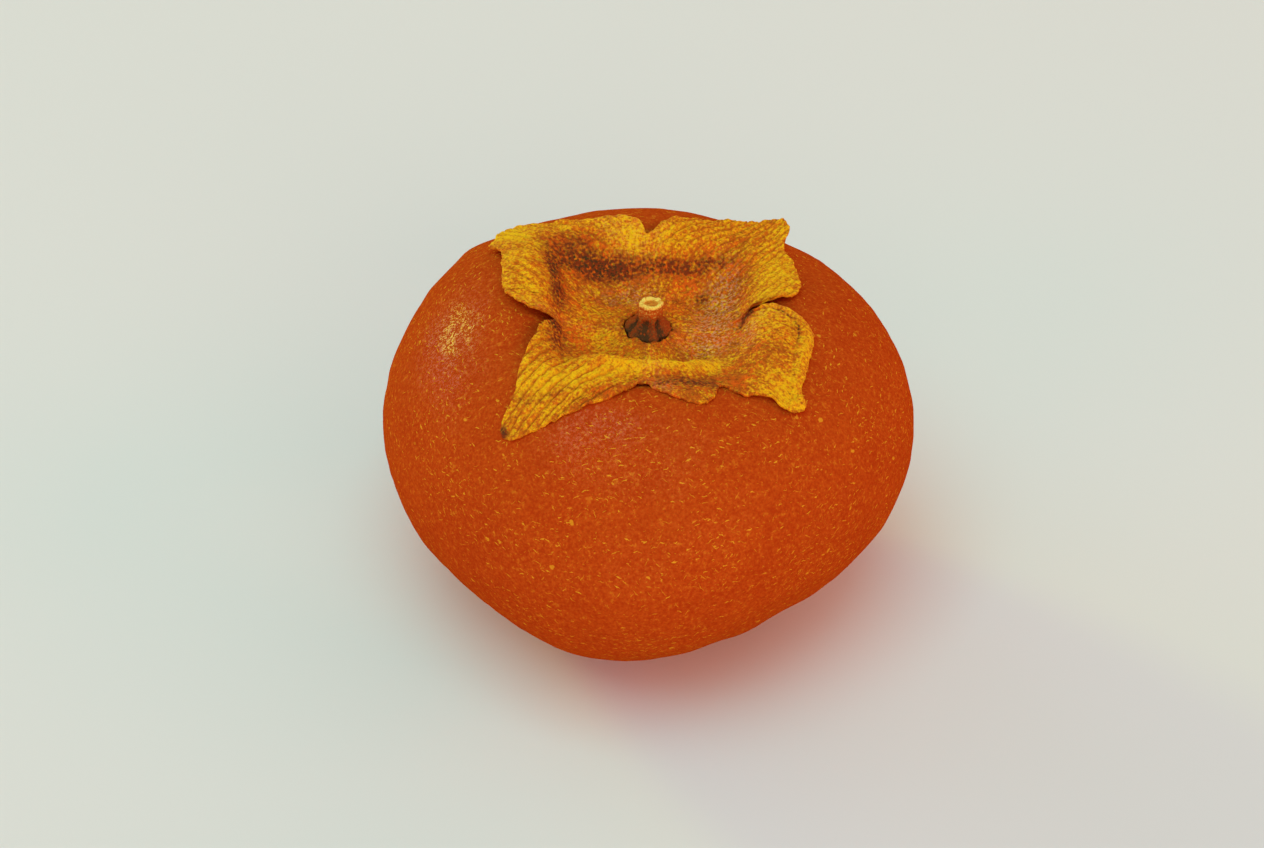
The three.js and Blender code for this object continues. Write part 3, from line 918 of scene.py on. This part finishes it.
def calyx_material():
    """Dried papery tissue: russet with patches of ember round the stub, and amber where it is drier,
    with ochre and lemon coming through in streaks and flecks, and as painted light where the calyx
    faces the light. Brown fibres and veins run along the lobes, garnet and umber flecks darken the
    folds as painted shade over brown stains, and there is a grey powdery coat with painted sheen."""
    calyx = bpy.context.scene.persimmon_calyx
    nodes = Nodes("dried_calyx")
    point = nodes.point()
    dry_and_lit, stain_and_shade, pale, vein, lobe = (
        nodes.attribute(name) for name in ("dry_and_lit", "stain_and_shade", "pale", "vein", "lobe")
    )
    grain = nodes.attribute("grain", "Vector")
    patch = nodes.noise(point, 3.2, 3)
    blotch = nodes.noise(point, 1.0, 4, 0.65)
    fleck = nodes.noise(point, 0.42, 1)
    other_point = nodes.vector("ADD", point, (31, 17, 5))
    dark_fleck = nodes.noise(other_point, 0.52, 1)
    bright_fleck = nodes.noise(nodes.vector("ADD", point, (5, 47, 23)), 0.42, 1)
    glow = nodes.noise(other_point, 2.6, 2)
    fibre = nodes.noise(nodes.vector("MULTIPLY", grain, (2.6, 0.28, 1)), 1.0, 3, 0.6)
    fibre = 0.45 + (fibre - 0.45) * lobe
    outward = nodes.vector("NORMALIZE", nodes.vector("MULTIPLY", point, (1, 1, 0)))
    streak = nodes.noise(nodes.spokes(point, outward, 9.0, 0.12), 1.0, 3, 0.6)
    tuft = nodes.noise(nodes.spokes(other_point, outward, 26.0, 0.8), 1.0, 2, 0.6)

    # Painted light and painted shade from the marks come in with the drier tissue's field
    exposed = dry_and_lit.clipped()
    light = dry_and_lit + 0.1 + (patch - 0.5) * 1.5 + (streak - 0.5) * 1.3
    light = light + (fleck - 0.5) * 3.2 + (tuft - 0.5) * 2.8
    ground = nodes.mix(calyx.russet, calyx.ember, nodes.step(glow, 0.42, 0.6) * 0.8)
    ground = nodes.mix(ground, calyx.amber, exposed)
    colour = nodes.mix(ground, calyx.ochre, light.clipped())
    colour = nodes.mix(colour, calyx.lemon, nodes.step(light, 0.7, 1.5) * 0.9)
    brown = nodes.mix([0.5 * channel for channel in calyx.russet], calyx.russet, exposed)
    browned = (nodes.step(dark_fleck, 0.52, 0.7) * 0.6, nodes.step(fibre, 0.5, 0.72) * 0.5,
               nodes.step(blotch, 0.52, 0.68) * 0.5,
               (vein * (0.3 + fibre + (blotch - 0.5) * 1.5)).clipped())
    for mask in browned:
        colour = nodes.mix(colour, brown, mask)
    # Grey powdery coat, with painted sheen where the tray's right side faces the light
    bloom_and_sheen = ((pale + 0.06 * (1 - lobe)) * nodes.step(bright_fleck, 0.46, 0.62)).clipped()
    colour = nodes.mix(colour, calyx.bloom_and_sheen, bloom_and_sheen)
    # Garnet and umber: painted shade in folds, creases, gaps and round the crater, over brown stains
    dark = (stain_and_shade * (0.5 + blotch * 0.8 + (dark_fleck - 0.5) * 4.6 + (tuft - 0.5) * 2)).clipped()
    colour = nodes.mix(colour, calyx.garnet, dark)
    darkest = ((stain_and_shade - 0.3) * (0.4 + (fleck - 0.5) * 4 + (bright_fleck - 0.5) * 4)).clipped()
    colour = nodes.mix(colour, calyx.umber, darkest)
    height = fibre * 0.6 + blotch * 0.5 + fleck * 0.15
    return nodes.surface(
        {"Specular IOR Level": 0.05}, {"Base Color": colour, "Roughness": 0.75 + fibre * 0.15},
        height, 0.35 * MM,
    )


def stub_material():
    """Dried stalk: orange-brown bark with pale flecks, which is redder at the foot, pits darkened by
    painted shade over darker torn tissue, and a pale ring round the pith on the broken end."""
    stub = bpy.context.scene.persimmon_stub
    nodes = Nodes("dried_stalk")
    point = nodes.point()
    ring, pith, pit, foot = (nodes.attribute(name) for name in ("ring", "pith", "pit", "foot"))
    fibre = nodes.noise(point, 0.5, 3, 0.6)
    rough = (nodes.noise(point, 0.3, 1) - 0.5) * 2.5
    low = (foot + rough * 0.6).clipped()
    colour = nodes.mix(stub.bark_colour, stub.foot_colour, low)
    colour = nodes.mix(colour, stub.wood_colour, (rough * (1.6 - foot * 1.3)).clipped() * 0.7)
    # Painted shade in the pits of the foot, over darker torn tissue
    sunk = (pit * (1.3 + (fibre - 0.5) * 4.5 + rough * 1.2)).clipped()
    colour = nodes.mix(colour, stub.pit_shade_colour, sunk)
    colour = nodes.mix(colour, stub.pith_colour, pith)
    colour = nodes.mix(colour, stub.wood_colour, (ring * (1.05 + rough * 1.3)).clipped())
    return nodes.surface(
        {"Specular IOR Level": 0.05}, {"Base Color": colour, "Roughness": 0.8 + fibre * 0.1},
        fibre, 0.3 * MM,
    )


def floor_material():
    """Plain pale matt floor."""
    stage = bpy.context.scene.persimmon_stage
    nodes = Nodes("pale_floor")
    constants = {"Base Color": (*stage.floor_colour, 1), "Roughness": 0.9, "Specular IOR Level": 0.1}
    return nodes.surface(constants, {})


class PERSIMMON_OT_fruit(bpy.types.Operator):
    """Add the fruit with its waxy, flecked skin"""

    bl_idname = "persimmon.fruit"
    bl_label = "Add fruit"

    def execute(self, context):
        rings = fruit_rings()
        poles = ((0, 0, rings[0, :, 2].mean()), (0, 0, rings[-1, :, 2].mean()))
        piece = mesh_object("persimmon_flesh", rings, {"shine_and_painted_highlight": bumps(rings, SHINE_AND_PAINTED_HIGHLIGHT)}, poles)
        finish_piece(piece, "fruit", skin_material())
        return {"FINISHED"}


class PERSIMMON_OT_calyx(bpy.types.Operator):
    """Add the dried calyx with its tray, folds and four lobes"""

    bl_idname = "persimmon.calyx"
    bl_label = "Add calyx"

    def execute(self, context):
        rings, fields = calyx_rings()
        piece = mesh_object("persimmon_calyx", rings, fields, looped=True)
        finish_piece(piece, "calyx", calyx_material())
        return {"FINISHED"}


class PERSIMMON_OT_stub(bpy.types.Operator):
    """Add the broken stub of the stalk"""

    bl_idname = "persimmon.stub"
    bl_label = "Add stub"

    def execute(self, context):
        rings, fields = stub_rings()
        poles = (rings[0].mean(0), rings[-1].mean(0))
        piece = mesh_object("persimmon_stub", rings, fields, poles)
        finish_piece(piece, "stem_stub", stub_material())
        return {"FINISHED"}


class PERSIMMON_OT_stage(bpy.types.Operator):
    """Add the floor, the lights and the camera"""

    bl_idname = "persimmon.stage"
    bl_label = "Add stage"

    def execute(self, context):
        stage = context.scene.persimmon_stage
        add_floor()
        add_world()
        add_area_light(*KEY_LIGHT, stage.key_power)
        for light in OTHER_LIGHTS:
            add_area_light(*light)
        add_camera(stage)
        context.scene.view_settings.view_transform = "Standard"
        return {"FINISHED"}


def add_floor():
    """A square floor at the height of the resting spot."""
    corners = FLOOR_HALF * np.array([(-1, -1, 0), (1, -1, 0), (1, 1, 0), (-1, 1, 0)])
    mesh = bpy.data.meshes.new("floor")
    mesh.from_pydata(corners, [], [(0, 1, 2, 3)])
    floor = bpy.data.objects.new("floor", mesh)
    bpy.context.scene.collection.objects.link(floor)
    mesh.materials.append(floor_material())


def add_world():
    """Even light from all round."""
    world = bpy.data.worlds.new("soft_studio")
    bpy.context.scene.world = world
    world.use_nodes = True
    background = world.node_tree.nodes["Background"]
    background.inputs["Color"].default_value = ROOM_COLOUR
    background.inputs["Strength"].default_value = 1.0


def add_area_light(name, direction, size, colour, power):
    """An area light that faces the fruit. direction is its azimuth, elevation and distance, and size
    is its width and its height."""
    azimuth, elevation, distance = direction
    turn, rise = np.radians(azimuth), np.radians(elevation)
    away = np.array([np.cos(rise) * np.cos(turn), np.cos(rise) * np.sin(turn), np.sin(rise)])
    aim = Vector((0, 0, MIDDLE_HEIGHT * MM))
    place = aim + Vector(away * distance)
    light = bpy.data.lights.new(name, "AREA")
    light.shape = "RECTANGLE"
    light.size, light.size_y = size
    light.energy = power
    light.color = colour
    lamp = bpy.data.objects.new(name, light)
    bpy.context.scene.collection.objects.link(lamp)
    lamp.location = place
    lamp.rotation_euler = (aim - place).to_track_quat("-Z", "Y").to_euler()


def add_camera(stage):
    """The photograph's view: level, square on to the fruit's front, from above."""
    aim = np.array(CAMERA_AIM) * MM
    elevation = stage.camera_elevation
    back = np.array([0, -np.cos(elevation), np.sin(elevation)])
    lens = bpy.data.cameras.new("camera")
    lens.lens = FOCAL_LENGTH
    lens.sensor_width = SENSOR_WIDTH
    camera = bpy.data.objects.new("camera", lens)
    bpy.context.scene.collection.objects.link(camera)
    camera.location = aim + back * stage.camera_distance
    camera.rotation_euler = (np.pi / 2 - elevation, 0, 0)
    bpy.context.scene.camera = camera


class PERSIMMON_PT_panel(bpy.types.Panel):
    """Lists the pieces, with their sizes and colours"""

    bl_label = "Persimmon"
    bl_idname = "PERSIMMON_PT_panel"
    bl_space_type = "VIEW_3D"
    bl_region_type = "UI"
    bl_category = "Persimmon"

    def draw(self, context):
        for name, (group, operator) in PIECES.items():
            box = self.layout.box()
            box.operator(operator.bl_idname)
            for key in group.__annotations__:
                box.prop(getattr(context.scene, name), key)


PIECES = {
    "persimmon_fruit": (FruitSettings, PERSIMMON_OT_fruit),
    "persimmon_calyx": (CalyxSettings, PERSIMMON_OT_calyx),
    "persimmon_stub": (StubSettings, PERSIMMON_OT_stub),
    "persimmon_stage": (StageSettings, PERSIMMON_OT_stage),
}
CLASSES = (*(kind for pair in PIECES.values() for kind in pair), PERSIMMON_PT_panel)


def register():
    for kind in CLASSES:
        bpy.utils.register_class(kind)
    for name, (group, operator) in PIECES.items():
        setattr(bpy.types.Scene, name, bpy.props.PointerProperty(type=group))


def unregister():
    for name in PIECES:
        delattr(bpy.types.Scene, name)
    for kind in reversed(CLASSES):
        bpy.utils.unregister_class(kind)


def main():
    register()
    bpy.ops.persimmon.fruit()
    bpy.ops.persimmon.calyx()
    bpy.ops.persimmon.stub()
    bpy.ops.persimmon.stage()


if __name__ == "__main__":
    main()
